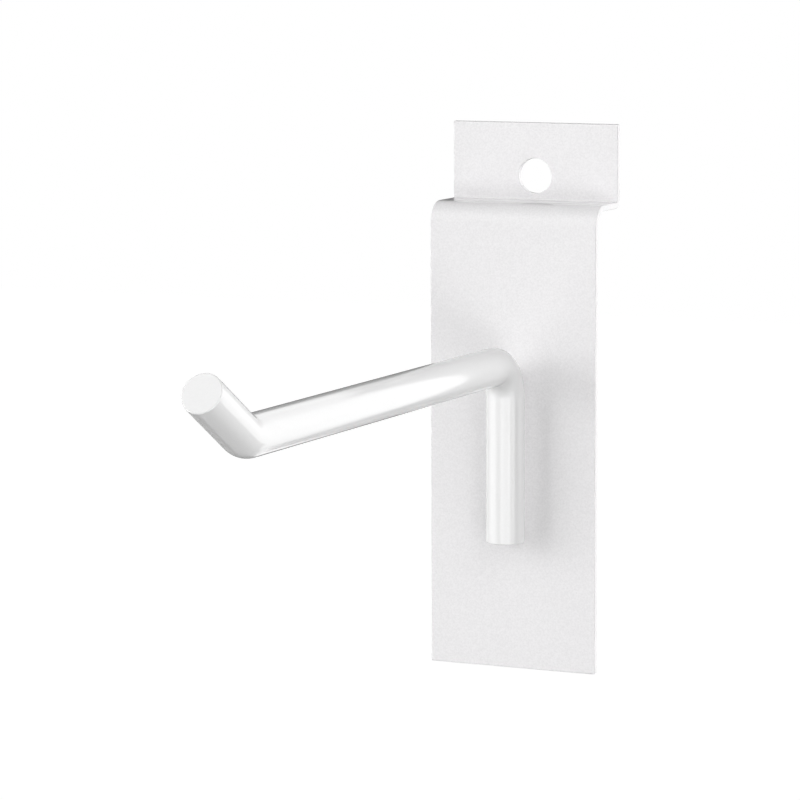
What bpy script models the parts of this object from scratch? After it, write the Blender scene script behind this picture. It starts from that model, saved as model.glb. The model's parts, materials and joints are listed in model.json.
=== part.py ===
"""Slatwall hook: a folded sheet-steel back plate with a bent wire hook welded to its front.

Frame: the plate stands in the XZ plane. X runs across the plate, Y runs back into the wall
panel and Z is up. The origin is on the plate's back face, where it bears on the panel, at
mid-width and level with the arm. The wire hook lies on the -Y side and the lip, which hooks
up behind the panel's groove, on the +Y side.
"""
import bpy
import bmesh
from math import cos, pi, radians, sin, tan
from mathutils import Matrix, Vector

MM = 0.001

# Back plate, one piece of sheet steel with two folds
SHEET = 1.0 * MM            # thickness of the sheet
PLATE_WIDTH = 29.5 * MM     # across the plate, the shelf and the lip
PLATE_BELOW = 51.2 * MM     # the arm's centre line down to the plate's bottom edge
SHELF_ABOVE = 26.0 * MM     # the arm's centre line up to the shelf's upper face
LIP_HEIGHT = 12.8 * MM      # how far the lip stands above the shelf
LIP_GAP = 8.5 * MM          # back face of the plate to front face of the lip, for the panel
TOP_FOLD = 2.5 * MM         # inside radius of the fold between plate and shelf
LIP_FOLD = 0.5 * MM         # inside radius of the fold between shelf and lip
HOLE = 5.8 * MM             # diameter of the hole in the lip
HOLE_UP = 4.0 * MM          # centre of that hole above the shelf

# Wire hook, one piece of round rod with two bends
WIRE = 6.35 * MM            # diameter of the rod
LEG_LENGTH = 29.6 * MM      # from the arm's centre line down to the foot of the leg
REACH = 96.5 * MM           # plate's front to where the centre lines of arm and tip cross
TIP_LENGTH = 15.0 * MM      # from that crossing to the end of the tip
TIP_RISE = radians(31.6)    # slope of the tip above the arm
WIRE_BEND = 5.5 * MM        # radius of the rod's centre line at both bends
END_BREAK = 0.2 * MM        # broken edge at the rod's two cut ends

# Weld between the two pieces
WELD_FLAT = 0.6 * MM        # depth of the flat that the weld presses along the leg
WELD_SEAM = 0.3 * MM        # seam between that flat and the plate's face

# Facets
FOLD_STEPS = 10             # steps round each fold of the sheet
HOLE_SIDES = 48
WIRE_SIDES = 40
ELBOW_STEPS = 16            # steps round the bend at the plate
TIP_STEPS = 7               # steps round the bend at the tip
END_STEPS = 3               # steps round the broken edge of each cut end

# Powder coat: base colour, metallic and roughness
COAT_WHITE = (0.86, 0.86, 0.86, 1.0)
COAT_METALLIC = 0.0
COAT_ROUGHNESS = 0.3


def clear_scene():
    """Remove the objects of the scene that the script starts in."""
    for obj in list(bpy.data.objects):
        bpy.data.objects.remove(obj, do_unlink=True)


def coat_material(name):
    """White powder coat on steel."""
    material = bpy.data.materials.new(name)
    material.use_nodes = True
    shader = material.node_tree.nodes["Principled BSDF"]
    shader.inputs["Base Color"].default_value = COAT_WHITE
    shader.inputs["Metallic"].default_value = COAT_METALLIC
    shader.inputs["Roughness"].default_value = COAT_ROUGHNESS
    return material


def add_object(name, mesh):
    """Put a mesh into the scene as an object of its own."""
    obj = bpy.data.objects.new(name, mesh)
    bpy.context.scene.collection.objects.link(obj)
    return obj


def finish_mesh(bm, name):
    """Turn a bmesh into a mesh with its faces pointing out and its round faces smooth."""
    bmesh.ops.recalc_face_normals(bm, faces=bm.faces)
    mesh = bpy.data.meshes.new(name)
    bm.to_mesh(mesh)
    bm.free()
    mesh.shade_smooth()
    mesh.set_sharp_from_angle(angle=radians(30))
    return mesh


def arc(centre, radius, start, end, steps):
    """Points (y, z) of an arc about a centre; the angles count from +Y towards +Z."""
    turns = [start + (end - start) * step / steps for step in range(steps + 1)]
    return [(centre[0] + radius * cos(turn), centre[1] + radius * sin(turn)) for turn in turns]


def sheet_outline():
    """Side view of the folded sheet as (y, z) points, up its front and down its back."""
    top_centre = (TOP_FOLD, SHELF_ABOVE - SHEET - TOP_FOLD)
    lip_centre = (LIP_GAP - LIP_FOLD, SHELF_ABOVE + LIP_FOLD)
    lip_top = SHELF_ABOVE + LIP_HEIGHT
    front = [(-SHEET, -PLATE_BELOW)]
    front += arc(top_centre, SHEET + TOP_FOLD, pi, pi / 2, FOLD_STEPS)
    front += arc(lip_centre, LIP_FOLD, -pi / 2, 0.0, FOLD_STEPS)
    front += [(LIP_GAP, lip_top)]
    back = [(LIP_GAP + SHEET, lip_top)]
    back += arc(lip_centre, SHEET + LIP_FOLD, 0.0, -pi / 2, FOLD_STEPS)
    back += arc(top_centre, TOP_FOLD, pi / 2, pi, FOLD_STEPS)
    back += [(0.0, -PLATE_BELOW)]
    return front + back


def build_back_plate():
    """The folded sheet: its side view drawn out across the width, with the lip's hole cut."""
    bm = bmesh.new()
    side = [bm.verts.new((-PLATE_WIDTH / 2, y, z)) for y, z in sheet_outline()]
    face = bm.faces.new(side)
    drawn = bmesh.ops.extrude_face_region(bm, geom=[face])
    moved = [item for item in drawn["geom"] if isinstance(item, bmesh.types.BMVert)]
    bmesh.ops.translate(bm, verts=moved, vec=(PLATE_WIDTH, 0.0, 0.0))
    plate = add_object("back_plate", finish_mesh(bm, "back_plate"))
    plate.data.materials.append(coat_material("powder_coat_plate"))
    cut = plate.modifiers.new("lip_hole", "BOOLEAN")
    cut.operation = "DIFFERENCE"
    cut.object = build_hole_cutter()
    return plate


def build_hole_cutter():
    """A round bar through the lip, from before its front face to behind its back face."""
    bm = bmesh.new()
    middle = Matrix.Translation((0.0, LIP_GAP + SHEET / 2, SHELF_ABOVE + HOLE_UP))
    upright_to_level = Matrix.Rotation(pi / 2, 4, "X")
    bmesh.ops.create_cone(
        bm, cap_ends=True, segments=HOLE_SIDES, radius1=HOLE / 2, radius2=HOLE / 2,
        depth=3 * SHEET, matrix=middle @ upright_to_level)
    cutter = add_object("lip_hole_cutter", finish_mesh(bm, "lip_hole_cutter"))
    cutter.hide_render = True
    cutter.display_type = "WIRE"
    return cutter


def draw_on(bm, rim, step):
    """Draw the rod on from its open rim along a vector, and give the new rim."""
    drawn = bmesh.ops.extrude_edge_only(bm, edges=rim)["geom"]
    moved = [item for item in drawn if isinstance(item, bmesh.types.BMVert)]
    bmesh.ops.translate(bm, verts=moved, vec=step)
    return [item for item in drawn if isinstance(item, bmesh.types.BMEdge)]


def bend_on(bm, rim, centre, angle, steps):
    """Draw the rod on round a bend about an axis along X, and give the new rim."""
    turn = Matrix.Rotation(angle / steps, 3, "X")
    for _ in range(steps):
        drawn = bmesh.ops.extrude_edge_only(bm, edges=rim)["geom"]
        moved = [item for item in drawn if isinstance(item, bmesh.types.BMVert)]
        bmesh.ops.rotate(bm, verts=moved, cent=centre, matrix=turn)
        rim = [item for item in drawn if isinstance(item, bmesh.types.BMEdge)]
    return rim


def close_rims(bm):
    """Put a flat face on every open rim."""
    open_edges = [edge for edge in bm.edges if edge.is_boundary]
    bmesh.ops.holes_fill(bm, edges=open_edges, sides=0)


def build_wire_hook():
    """The rod, bent as on a bending jig: up the leg, out along the arm, up into the tip."""
    leg_y = -(SHEET + WELD_SEAM + WIRE / 2 - WELD_FLAT)
    elbow_y = leg_y - WIRE_BEND
    tip_tangent = WIRE_BEND * tan(TIP_RISE / 2)
    tip_bend_y = -SHEET - REACH + tip_tangent
    rise = Vector((0.0, -cos(TIP_RISE), sin(TIP_RISE)))

    bm = bmesh.new()
    foot = Matrix.Translation((0.0, leg_y, -LEG_LENGTH))
    bmesh.ops.create_circle(bm, segments=WIRE_SIDES, radius=WIRE / 2, matrix=foot)
    rim = bm.edges[:]
    rim = draw_on(bm, rim, (0.0, 0.0, LEG_LENGTH - WIRE_BEND))
    rim = bend_on(bm, rim, (0.0, elbow_y, -WIRE_BEND), pi / 2, ELBOW_STEPS)
    rim = draw_on(bm, rim, (0.0, tip_bend_y - elbow_y, 0.0))
    rim = bend_on(bm, rim, (0.0, tip_bend_y, WIRE_BEND), -TIP_RISE, TIP_STEPS)
    draw_on(bm, rim, rise * (TIP_LENGTH - tip_tangent))
    close_rims(bm)
    break_end_edges(bm)
    press_weld_flat(bm)
    wire = add_object("wire_hook", finish_mesh(bm, "wire_hook"))
    wire.data.materials.append(coat_material("powder_coat_wire"))
    return wire


def break_end_edges(bm):
    """Take the sharp edge off the rod's two cut ends."""
    end_edges = [edge for face in bm.faces if len(face.verts) > 4 for edge in face.edges]
    bmesh.ops.bevel(
        bm, geom=end_edges, offset=END_BREAK, offset_type="OFFSET", segments=END_STEPS,
        profile=0.5, affect="EDGES")


def press_weld_flat(bm):
    """Flatten the back of the leg where it is welded to the plate."""
    everything = bm.verts[:] + bm.edges[:] + bm.faces[:]
    bmesh.ops.bisect_plane(
        bm, geom=everything, plane_co=(0.0, -SHEET - WELD_SEAM, 0.0),
        plane_no=(0.0, 1.0, 0.0), clear_outer=True)
    close_rims(bm)


clear_scene()
build_back_plate()
build_wire_hook()
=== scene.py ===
# %% [markdown]
# # A slatwall hook in white powder coat
# The hook is two pieces of steel: a sheet folded twice, and a round rod bent twice and
# welded to the front of the sheet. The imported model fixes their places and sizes, so the
# lesson starts by loading it. Everything is in metres. The origin is on the back of the
# plate, level with the arm, +Y goes back into the wall and the arm comes forward along -Y.

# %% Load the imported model
import json
from math import asin, cos, pi, radians, sin, sqrt, tan

import bmesh
import bpy
from mathutils import Matrix, Vector


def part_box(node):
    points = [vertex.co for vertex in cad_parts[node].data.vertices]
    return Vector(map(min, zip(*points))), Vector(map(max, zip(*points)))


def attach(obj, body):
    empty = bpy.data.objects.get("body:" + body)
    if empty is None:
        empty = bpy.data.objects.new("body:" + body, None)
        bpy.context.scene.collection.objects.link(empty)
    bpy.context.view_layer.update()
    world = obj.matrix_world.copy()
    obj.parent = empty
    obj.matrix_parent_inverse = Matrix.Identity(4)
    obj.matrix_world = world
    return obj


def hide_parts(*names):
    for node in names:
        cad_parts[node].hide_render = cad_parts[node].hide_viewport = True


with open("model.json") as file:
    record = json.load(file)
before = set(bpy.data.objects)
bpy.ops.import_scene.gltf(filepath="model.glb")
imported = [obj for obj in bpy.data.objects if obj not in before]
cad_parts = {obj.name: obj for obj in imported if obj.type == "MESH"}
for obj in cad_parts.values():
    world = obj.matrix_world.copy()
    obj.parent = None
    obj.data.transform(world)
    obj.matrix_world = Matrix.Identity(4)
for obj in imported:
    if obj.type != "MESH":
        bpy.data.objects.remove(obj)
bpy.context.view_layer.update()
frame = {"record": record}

MM = 0.001

# %% [markdown]
# ## Sizes
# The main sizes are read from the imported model: its boxes give the sheet's thickness, the
# plate's width and the rod's diameter, and its mounts give the places of shelf and lip.
# A box doesn't tell the radius of a bend, the slope of the tip or the size of the hole, so
# those are stated here as the bending tools and the punch would have them. A fold in the
# sheet is given by its inner radius, and a bend in the rod by its middle line's radius.

# %% Read the sizes
plate_low, plate_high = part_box("back_plate")
rod_low, rod_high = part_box("wire_hook")
mount_at = {mount["name"]: Vector(mount["pos_m"]) for mount in frame["record"]["mounts"]}

SHEET = -plate_low.y
PLATE_WIDTH = plate_high.x - plate_low.x
PLATE_FOOT = plate_low.z
LIP_TOP = plate_high.z
LIP_FRONT = mount_at["lip_front"].y
SHELF_TOP = mount_at["shelf_underside"].z + SHEET
TOP_FOLD = 2.5 * MM
LIP_FOLD = 0.5 * MM
HOLE = 5.8 * MM
HOLE_UP = 4.0 * MM
HOLE_HEIGHT = SHELF_TOP + HOLE_UP

ROD = rod_high.x - rod_low.x
ROD_FOOT = rod_low.z
LEG_FLAT_Y = rod_high.y
LEG_FLAT_DEPTH = 0.6 * MM
ROD_BEND = 5.5 * MM
# The middle lines of arm and tip cross at the reach, and the tip's length starts there
REACH = 96.5 * MM
TIP_CROSSING_Y = -SHEET - REACH
TIP_RISE = radians(31.6)
TIP_LENGTH = 15.0 * MM
print("sheet", round(SHEET / MM, 2), "mm, rod", round(ROD / MM, 2), "mm")

# %% [markdown]
# ## Selecting by place
# By hand, one clicks on an edge and extrudes it. A script has no mouse, so it selects the
# points whose coordinates pass a test. A new primitive comes in selected, and so do the
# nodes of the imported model, so everything is deselected before each new piece.

# %% Helpers for modelling
def start_piece(name, add_primitive, **settings):
    """Add a primitive as a new piece, put its place into its mesh and enter edit mode."""
    bpy.ops.object.select_all(action="DESELECT")
    add_primitive(**settings)
    piece = bpy.context.object
    piece.name = piece.data.name = name
    bpy.ops.object.transform_apply(location=True, rotation=True, scale=True)
    bpy.ops.object.mode_set(mode="EDIT")
    return piece


def select_points(piece, wanted):
    """In edit mode, select the points that pass a test, with the edges and faces between."""
    mesh = bmesh.from_edit_mesh(piece.data)
    mesh.select_mode = {"VERT"}
    for point in mesh.verts:
        point.select = wanted(point.co)
    mesh.select_flush_mode()
    bmesh.update_edit_mesh(piece.data)


def move(x=0.0, y=0.0, z=0.0):
    """Move what is selected."""
    bpy.ops.transform.translate(value=(x, y, z))


def draw_on(x=0.0, y=0.0, z=0.0):
    """Extrude what is selected along a vector."""
    bpy.ops.mesh.extrude_region_move(TRANSFORM_OT_translate={"value": (x, y, z)})


def bend_on(centre, angle, steps):
    """Extrude what is selected round an axis along X; a positive angle turns +Y towards +Z."""
    bpy.ops.mesh.spin(steps=steps, angle=angle, center=centre, axis=(-1.0, 0.0, 0.0))


def finish_modifiers(piece):
    """Leave edit mode and apply the piece's modifiers in their order."""
    bpy.ops.object.mode_set(mode="OBJECT")
    for modifier in list(piece.modifiers):
        bpy.ops.object.modifier_apply(modifier=modifier.name)
    print(piece.name, len(piece.data.polygons), "faces")


# %% [markdown]
# ## The folded sheet
# The real plate is blanked from sheet steel, punched and folded on a press brake. The
# model goes the same way: one upright face, whose top edge is spun round the wide fold,
# drawn back as the shelf, spun round the tight fold and drawn up as the lip. It is
# modelled as the sheet's middle surface, so one Solidify gives every wall the same
# thickness. A block cut to shape could look alike, but its folds would not keep the
# sheet's thickness.

# %% Fold the sheet
FOLD_STEPS = 16
middle_y = -SHEET / 2
top_fold_centre = (0.0, TOP_FOLD, SHELF_TOP - SHEET - TOP_FOLD)
lip_fold_centre = (0.0, LIP_FRONT - LIP_FOLD, SHELF_TOP + LIP_FOLD)

plate = start_piece(
    "folded_sheet", bpy.ops.mesh.primitive_plane_add,
    size=PLATE_WIDTH, location=(0.0, middle_y, 0.0), rotation=(pi / 2, 0.0, 0.0))
select_points(plate, lambda point: point.z < 0)
move(z=PLATE_FOOT + PLATE_WIDTH / 2)
select_points(plate, lambda point: point.z > 0)
move(z=top_fold_centre[2] - PLATE_WIDTH / 2)
bend_on(top_fold_centre, -pi / 2, FOLD_STEPS)
draw_on(y=lip_fold_centre[1] - top_fold_centre[1])
bend_on(lip_fold_centre, pi / 2, FOLD_STEPS)
draw_on(z=LIP_TOP - lip_fold_centre[2])
thick = plate.modifiers.new("sheet_thickness", "SOLIDIFY")
thick.thickness = SHEET
thick.offset = 0.0
thick.use_even_offset = True
finish_modifiers(plate)
folded_box = [Vector(corner) for corner in plate.bound_box]
print("folded sheet runs back to", round(max(corner.y for corner in folded_box) / MM, 2), "mm")

# %% [markdown]
# ## The punched hole and the sheet's edges
# The lip has one round hole. A bar of the hole's size is subtracted from it, as the punch
# does. Powder coat then rounds every edge of the sheet a little, because the powder melts
# before it sets. A Bevel of a fraction of a millimetre gives that edge, and weighted
# normals keep the flats next to it flat.

# %% Punch the lip and round the edges
HOLE_SIDES = 96
PUNCH_LENGTH = 4 * SHEET
SHEET_EDGE = 0.16 * MM
EDGE_SEGMENTS = 3
BEVEL_ABOVE = radians(40)

bpy.ops.object.select_all(action="DESELECT")
bpy.ops.mesh.primitive_cylinder_add(
    vertices=HOLE_SIDES, radius=HOLE / 2, depth=PUNCH_LENGTH,
    location=(0.0, LIP_FRONT + SHEET / 2, HOLE_HEIGHT), rotation=(pi / 2, 0.0, 0.0))
punch = bpy.context.object
bpy.context.view_layer.objects.active = plate
punched = plate.modifiers.new("punched_hole", "BOOLEAN")
punched.operation = "DIFFERENCE"
punched.object = punch


def round_edges(piece, width):
    """Round a piece's sharp edges and keep the faces between them flat to the eye."""
    rounded = piece.modifiers.new("rounded_edges", "BEVEL")
    rounded.width = width
    rounded.segments = EDGE_SEGMENTS
    rounded.limit_method = "ANGLE"
    rounded.angle_limit = BEVEL_ABOVE
    piece.modifiers.new("flat_faces", "WEIGHTED_NORMAL")


round_edges(plate, SHEET_EDGE)
plate.data.shade_smooth()
finish_modifiers(plate)
bpy.data.objects.remove(punch)

# %% [markdown]
# ## The bent rod
# The hook is cold-drawn rod, cut to length and bent twice on a jig. A circle of the rod's
# section is extruded up the leg, spun round the square bend, extruded along the arm, spun
# round the second bend and extruded into the tip. A curve with a bevel would be quicker,
# but the spins keep each bend a true arc of the tool's radius. The ends are sawn square,
# so each is a flat disc with a small broken edge.

# %% Bend the rod
ROD_SIDES = 96
ELBOW_STEPS = 32
TIP_STEPS = 14
CUT_EDGE = 0.2 * MM
leg_y = LEG_FLAT_Y + LEG_FLAT_DEPTH - ROD / 2
elbow_y = leg_y - ROD_BEND
tip_tangent = ROD_BEND * tan(TIP_RISE / 2)
tip_bend_y = TIP_CROSSING_Y + tip_tangent
tip_straight = TIP_LENGTH - tip_tangent

rod = start_piece(
    "bent_rod", bpy.ops.mesh.primitive_circle_add,
    vertices=ROD_SIDES, radius=ROD / 2, location=(0.0, leg_y, ROD_FOOT))
draw_on(z=-ROD_BEND - ROD_FOOT)
bend_on((0.0, elbow_y, -ROD_BEND), pi / 2, ELBOW_STEPS)
draw_on(y=tip_bend_y - elbow_y)
bend_on((0.0, tip_bend_y, ROD_BEND), -TIP_RISE, TIP_STEPS)
draw_on(y=-tip_straight * cos(TIP_RISE), z=tip_straight * sin(TIP_RISE))
bpy.ops.mesh.select_all(action="SELECT")
bpy.ops.mesh.fill_holes(sides=0)
bpy.ops.mesh.normals_make_consistent(inside=False)
round_edges(rod, CUT_EDGE)
finish_modifiers(rod)

# %% [markdown]
# ## The flat along the leg
# A resistance weld presses the leg a little way into the sheet, which leaves a narrow flat
# along the back of the leg. Bisect cuts the rod at the flat's plane, throws away what lies
# behind it and closes the cut. The rod's ends are rounded before this, because the thin
# slivers beside the flat would hold the bevel back.

# %% Press the flat
ON_THE_PLANE = 0.0001 * MM

bpy.ops.object.mode_set(mode="EDIT")
bpy.ops.mesh.select_all(action="SELECT")
bpy.ops.mesh.bisect(
    plane_co=(0.0, LEG_FLAT_Y, 0.0), plane_no=(0.0, 1.0, 0.0), threshold=ON_THE_PLANE,
    use_fill=True, clear_outer=True)
rod.modifiers.new("flat_faces", "WEIGHTED_NORMAL")
rod.data.shade_smooth()
finish_modifiers(rod)

# %% [markdown]
# ## The weld
# The coat runs into the corner between rod and sheet and fills it with a small hollow
# fillet, which also closes the seam behind the flat. A bevel can't round the corner
# between two separate pieces, so the fillet is a piece of its own: a face whose edge is
# spun round the fillet's centre, closed behind the rod and mirrored. It starts a hair
# inside the sheet, so that no light shows under it.

# %% Run the coat into the corner
HAIR = 0.01 * MM
FILLET = 0.2 * MM
FILLET_STEPS = 8
BITE = 0.02 * MM
SMOOTH_BELOW = radians(30)
fillet_y = -SHEET - FILLET
fillet_reach = ROD / 2 + FILLET
fillet_x = sqrt(fillet_reach ** 2 - (fillet_y - leg_y) ** 2)
fillet_turn = pi / 2 + asin((fillet_y - leg_y) / fillet_reach)
fillet_on_rod = fillet_x * (ROD / 2) / fillet_reach
weld_foot = ROD_FOOT + CUT_EDGE
weld_length = -ROD_BEND - weld_foot

weld = start_piece(
    "weld_fillet", bpy.ops.mesh.primitive_plane_add,
    size=weld_length, location=(0.0, BITE - SHEET, weld_foot + weld_length / 2),
    rotation=(pi / 2, 0.0, 0.0))
select_points(weld, lambda point: point.x < 0)
move(x=weld_length / 2)
select_points(weld, lambda point: point.x > HAIR)
move(x=fillet_x - weld_length / 2)
draw_on(y=-BITE)
bpy.ops.mesh.spin(
    steps=FILLET_STEPS, angle=fillet_turn, center=(fillet_x, fillet_y, 0.0),
    axis=(0.0, 0.0, -1.0))
draw_on(x=-fillet_on_rod)
halves = weld.modifiers.new("both_sides", "MIRROR")
halves.merge_threshold = HAIR
finish_modifiers(weld)
bpy.ops.object.mode_set(mode="EDIT")
bpy.ops.mesh.select_all(action="SELECT")
bpy.ops.mesh.fill_holes(sides=0)
bpy.ops.mesh.normals_make_consistent(inside=False)
bpy.ops.object.mode_set(mode="OBJECT")
bpy.ops.object.shade_smooth_by_angle(angle=SMOOTH_BELOW)
print("fillet meets the sheet", round(fillet_x / MM, 2), "mm from the middle")

# %% [markdown]
# ## Fit the pieces to the imported model
# Each new piece rides on the model's one body. The two big ones take the place of
# the imported solids, which stay out of sight. The table lists the record's material slot
# that each piece's finish belongs to, but nothing here puts it to use.

# %% Put the pieces on the body
SLOTS = (
    (plate, "powder_coat_plate"),
    (rod, "powder_coat_wire"),
    (weld, "powder_coat_wire"),
)
for piece, slot in SLOTS:
    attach(piece, "root")
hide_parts("back_plate")
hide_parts("wire_hook")
print("pieces:", [piece.name for piece in (plate, rod, weld)])

# %% [markdown]
# ## Materials from nodes
# A finish is a small graph of nodes. Three helpers keep it readable: one turns the
# colours, which are written as sRGB hex values, to the linear ones that a socket takes,
# one adds a node with its settings and links, and one starts an empty material.

# %% Helpers for materials
def linear(hex_colour):
    """Turn an sRGB colour such as "#EEEEEE" into linear values, by the standard's curve."""
    channels = [int(hex_colour[at:at + 2], 16) / 255 for at in (1, 3, 5)]
    bent = [c / 12.92 if c <= 0.04045 else ((c + 0.055) / 1.055) ** 2.4 for c in channels]
    return (*bent, 1.0)


def add_node(tree, kind, links=None, **settings):
    """Add a node; a setting names a property or an input, and links maps inputs to outputs."""
    node = tree.nodes.new(kind)
    for name, value in settings.items():
        if hasattr(node, name):
            setattr(node, name, value)
        else:
            node.inputs[name.replace("_", " ")].default_value = value
    for name, output in (links or {}).items():
        tree.links.new(output, node.inputs[name])
    return node


def new_material(name):
    """An empty node material with its output; gives the material, its tree and the output."""
    material = bpy.data.materials.new(name)
    material.use_nodes = True
    tree = material.node_tree
    tree.nodes.clear()
    return material, tree, tree.nodes.new("ShaderNodeOutputMaterial")


# %% [markdown]
# ## Powder coat
# Polyester powder is sprayed on dry and melted in an oven. It comes out as a thick white
# skin with the gloss of plastic and a faint orange peel: slow waves a millimetre or two
# long. On the sheet the powder also leaves a fine sandy grain, about 0.1 mm on the real
# one and drawn at 0.3 mm so that it shows. On the rod the coat has flowed smooth. A
# picture could give the colour and the bump, but noise in real millimetres needs no
# unwrapping and stays sharp close up.
# The gloss starts from polyester's index of refraction of about 1.5. The sheet's is set
# lower, at 1.3, because its grain scatters the gloss seen face on, while at a grazing
# angle the coat still mirrors the lip and its hole in the shelf. The rod's thick wet coat
# takes 1.6.

# %% Powder coat
# Noise keeps mostly between these, so the tint runs from dark to pale between them
TINT_FROM = 0.3
TINT_TO = 0.7


def powder_coat(
        name, pale, dark, grain_mm, grain_depth_mm, peel_mm, peel_depth_mm, roughness, ior):
    """White powder coat: a fine grain in colour and height over a slow orange peel."""
    material, tree, output = new_material(name)
    place = add_node(tree, "ShaderNodeTexCoord").outputs["Object"]
    grain = add_node(
        tree, "ShaderNodeTexNoise", {"Vector": place},
        Scale=1 / (grain_mm * MM), Detail=2.0, Roughness=0.6)
    peel = add_node(
        tree, "ShaderNodeTexNoise", {"Vector": place},
        Scale=1 / (peel_mm * MM), Detail=1.0, Roughness=0.4)
    tint = add_node(tree, "ShaderNodeValToRGB", {"Fac": grain.outputs["Fac"]})
    low_end, high_end = tint.color_ramp.elements
    low_end.position, low_end.color = TINT_FROM, linear(dark)
    high_end.position, high_end.color = TINT_TO, linear(pale)
    waves = add_node(
        tree, "ShaderNodeBump", {"Height": peel.outputs["Fac"]},
        Strength=1.0, Distance=peel_depth_mm * MM)
    sand = add_node(
        tree, "ShaderNodeBump",
        {"Height": grain.outputs["Fac"], "Normal": waves.outputs["Normal"]},
        Strength=1.0, Distance=grain_depth_mm * MM)
    shader = add_node(
        tree, "ShaderNodeBsdfPrincipled",
        {"Base Color": tint.outputs["Color"], "Normal": sand.outputs["Normal"]},
        Metallic=0.0, Roughness=roughness, IOR=ior)
    tree.links.new(shader.outputs["BSDF"], output.inputs["Surface"])
    return material


sheet_coat = powder_coat(
    "powder_coat_sandy", pale="#F1F0F1", dark="#E7E6E7", grain_mm=0.3, grain_depth_mm=0.002,
    peel_mm=1.6, peel_depth_mm=0.003, roughness=0.08, ior=1.3)
rod_coat = powder_coat(
    "powder_coat_smooth", pale="#ECECEC", dark="#EAEAEA", grain_mm=0.3, grain_depth_mm=0.001,
    peel_mm=2.0, peel_depth_mm=0.003, roughness=0.1, ior=1.6)
for piece, coat in ((plate, sheet_coat), (rod, rod_coat), (weld, rod_coat)):
    piece.data.materials.clear()
    piece.data.materials.append(coat)
print("coats:", sheet_coat.name, rod_coat.name)

# %% [markdown]
# ## The camera
# The photograph was taken from the right of the arm and a little above it, through a
# long lens, so the plate's sides run nearly parallel. The camera's place, its turn and its
# lens are stated as measured from the object's outline.

# %% Set the camera
IMAGE_PIXELS = 800
SENSOR = 36.0
FOCAL_PIXELS = 3836.9
CAMERA_AT = Vector((247.3, -577.2, 76.4)) * MM
CAMERA_YAW = radians(24.919)
CAMERA_DOWN = radians(7.513)
CAMERA_ROLL = radians(-0.221)
CLIP_START = 10 * MM

camera_data = bpy.data.cameras.new("camera")
camera_data.sensor_width = SENSOR
camera_data.lens = FOCAL_PIXELS / IMAGE_PIXELS * SENSOR
camera_data.clip_start = CLIP_START
camera = bpy.data.objects.new("camera", camera_data)
bpy.context.scene.collection.objects.link(camera)
turn = (Matrix.Rotation(CAMERA_YAW, 4, "Z") @ Matrix.Rotation(pi / 2 - CAMERA_DOWN, 4, "X")
        @ Matrix.Rotation(CAMERA_ROLL, 4, "Z"))
camera.matrix_world = Matrix.Translation(CAMERA_AT) @ turn
bpy.context.scene.camera = camera
print("lens", round(camera_data.lens, 1), "mm")

# %% [markdown]
# ## The white background
# A white product on white needs light from all round, or it goes grey, and something dark
# near it, or its edges vanish. More light would whiten the background too, but the hook
# would wash out with it. So the background is white to the camera, in gloss and through
# glass, and gives the object hardly any light: that comes from the lamps.

# %% White background
WHITE = "#FFFFFF"
AMBIENT = 0.08


def shown_directly(tree):
    """One where a surface is seen by the camera, in gloss or through glass, else nought."""
    path = add_node(tree, "ShaderNodeLightPath").outputs
    seen = path["Is Camera Ray"]
    for other in ("Is Glossy Ray", "Is Transmission Ray"):
        either = add_node(tree, "ShaderNodeMath", operation="MAXIMUM")
        tree.links.new(seen, either.inputs[0])
        tree.links.new(path[other], either.inputs[1])
        seen = either.outputs["Value"]
    return seen


world = bpy.data.worlds.new("white_studio")
bpy.context.scene.world = world
world.use_nodes = True
sky = world.node_tree
sky.nodes.clear()
strength = add_node(
    sky, "ShaderNodeMapRange", {"Value": shown_directly(sky)}, To_Min=AMBIENT, To_Max=1.0)
light = add_node(
    sky, "ShaderNodeBackground", {"Strength": strength.outputs["Result"]}, Color=linear(WHITE))
add_node(sky, "ShaderNodeOutputWorld", {"Surface": light.outputs["Background"]})
print("background, as a light on the object:", AMBIENT)

# %% [markdown]
# ## The floor
# The hook hangs on a wall, so the floor is far below it. It is white to the camera in the
# same way as the background. To the lamps it is grey, so that it throws little of their
# light back up.

# %% Floor
FLOOR_GREY = "#606060"
FLOOR_DROP = 700 * MM
FLOOR_SIDE = 12.0

bpy.ops.object.select_all(action="DESELECT")
bpy.ops.mesh.primitive_plane_add(size=FLOOR_SIDE, location=(0.0, 0.0, -FLOOR_DROP))
floor = bpy.context.object
floor.name = "floor"
paper, tree, output = new_material("white_paper")
matt = add_node(tree, "ShaderNodeBsdfDiffuse", Color=linear(FLOOR_GREY))
lift = add_node(
    tree, "ShaderNodeMapRange", {"Value": shown_directly(tree)}, To_Min=0.0, To_Max=1.0)
glow = add_node(
    tree, "ShaderNodeEmission", {"Strength": lift.outputs["Result"]}, Color=linear(WHITE))
both = add_node(tree, "ShaderNodeAddShader")
tree.links.new(matt.outputs["BSDF"], both.inputs[0])
tree.links.new(glow.outputs["Emission"], both.inputs[1])
tree.links.new(both.outputs["Shader"], output.inputs["Surface"])
floor.data.materials.append(paper)
print("floor", round(FLOOR_DROP / MM), "mm below the arm")

# %% [markdown]
# ## Soft lamps
# Soft boxes stand all round the object. The left box is the strongest: it draws the bright
# band along the arm and casts the leg's soft shadow on the plate. The front box is wide
# and low, so that the leg mirrors it as a second bright line. Those on the right fill the
# shade, and those behind light the far side of the arm and the edges of the sheet. A
# lamp's energy is worked out from its size, so one of brightness 1 is as white as the
# background. Together they light the coat at about the level at which its colour comes
# out as it is written.

# %% Soft lamps
LAMP_DISTANCE = 0.9


def around(azimuth, elevation, distance):
    """A place round the object; azimuth 0 is in front of it and 90 on its right, in degrees."""
    turn_to, rise = radians(azimuth), radians(elevation)
    way = Vector((sin(turn_to) * cos(rise), -cos(turn_to) * cos(rise), sin(rise)))
    return way * distance


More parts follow.
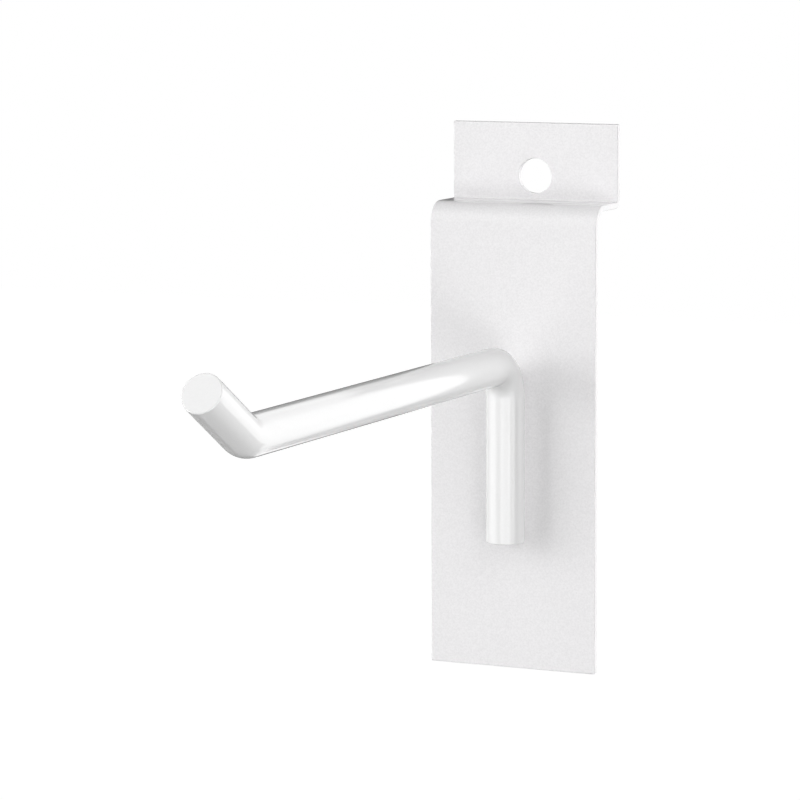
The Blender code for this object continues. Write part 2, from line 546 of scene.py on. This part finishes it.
def facing(place):
    """The placement of something that stands at a place and faces the object."""
    return Matrix.Translation(place) @ place.to_track_quat("Z", "Y").to_matrix().to_4x4()


def soft_lamp(name, azimuth, elevation, width, height, brightness):
    """A soft box that faces the object; brightness 1 is the white of the background."""
    data = bpy.data.lights.new(name, "AREA")
    data.shape = "RECTANGLE"
    data.size = width
    data.size_y = height
    data.energy = brightness * pi * width * height
    lamp = bpy.data.objects.new(name, data)
    bpy.context.scene.collection.objects.link(lamp)
    lamp.matrix_world = facing(around(azimuth, elevation, LAMP_DISTANCE))
    lamp.visible_camera = False


# Name, azimuth and elevation in degrees, width and height in metres, and brightness
LAMPS = (
    ("left_box", -60, 12.5, 0.75, 0.4, 4.55),
    ("left_top_box", -45, 42, 0.75, 0.52, 1.35),
    ("left_low_box", -60, -21, 0.75, 0.69, 1.5),
    ("front_low_box", 22, -14.8, 0.92, 0.245, 2.45),
    ("right_high_box", 49, 29, 0.6, 1.0, 2.05),
    ("right_low_box", 59, -21, 0.68, 0.69, 1.42),
    ("side_strip", 127, 0, 0.285, 0.84, 3.4),
    ("back_box", 151, 0, 0.585, 0.84, 1.15),
    ("high_back_box", 135, 42, 0.75, 0.52, 1.4),
    ("high_wall_box", 180, 42, 0.75, 0.52, 0.8),
    ("low_wall_box", 180, -34, 0.75, 0.25, 0.85),
)
for settings in LAMPS:
    soft_lamp(*settings)
print("lamps:", [settings[0] for settings in LAMPS])

# %% [markdown]
# ## Cards for the gloss
# A studio also sets up cards for a glossy product to mirror. The camera and the diffuse
# light don't see these, so they change nothing but the gloss. The black one behind on the
# left draws the thin dark line along the arm and the dark end of the fold's gloss. A high
# black one shows in that gloss below the lip's hole, a grey one below darkens the
# underside of the tip, and a black one on the right gives the leg its dark band.

# %% Cards for the gloss
CARD_DISTANCE = 0.8
BLACK = "#0A0A0A"
GREY = "#A8A8A8"


def gloss_card(name, azimuth, elevation, width, height, colour):
    """A card of one plain colour that faces the object and shows in its gloss only."""
    bpy.ops.object.select_all(action="DESELECT")
    bpy.ops.mesh.primitive_plane_add(size=1.0)
    card = bpy.context.object
    card.name = name
    card.matrix_world = facing(around(azimuth, elevation, CARD_DISTANCE))
    card.scale = (width, height, 1.0)
    board, tree, output = new_material(name)
    plain = add_node(tree, "ShaderNodeEmission", Color=linear(colour), Strength=1.0)
    tree.links.new(plain.outputs["Emission"], output.inputs["Surface"])
    card.data.materials.append(board)
    card.visible_camera = False
    card.visible_diffuse = False
    card.visible_transmission = False
    card.visible_shadow = False


# Name, azimuth and elevation in degrees, width and height in metres, and colour
CARDS = (
    ("black_card", -153, 0, 0.28, 0.62, BLACK),
    ("high_black_card", -150, 33, 0.2, 0.36, BLACK),
    ("grey_card", -141, -43, 0.5, 0.78, GREY),
    ("side_card", 98, -8, 0.38, 0.5, BLACK),
)
for settings in CARDS:
    gloss_card(*settings)
print("cards:", [settings[0] for settings in CARDS])

# %% [markdown]
# ## Last settings
# The Standard view shows a white as it is written.

# %% View
bpy.context.scene.view_settings.view_transform = "Standard"
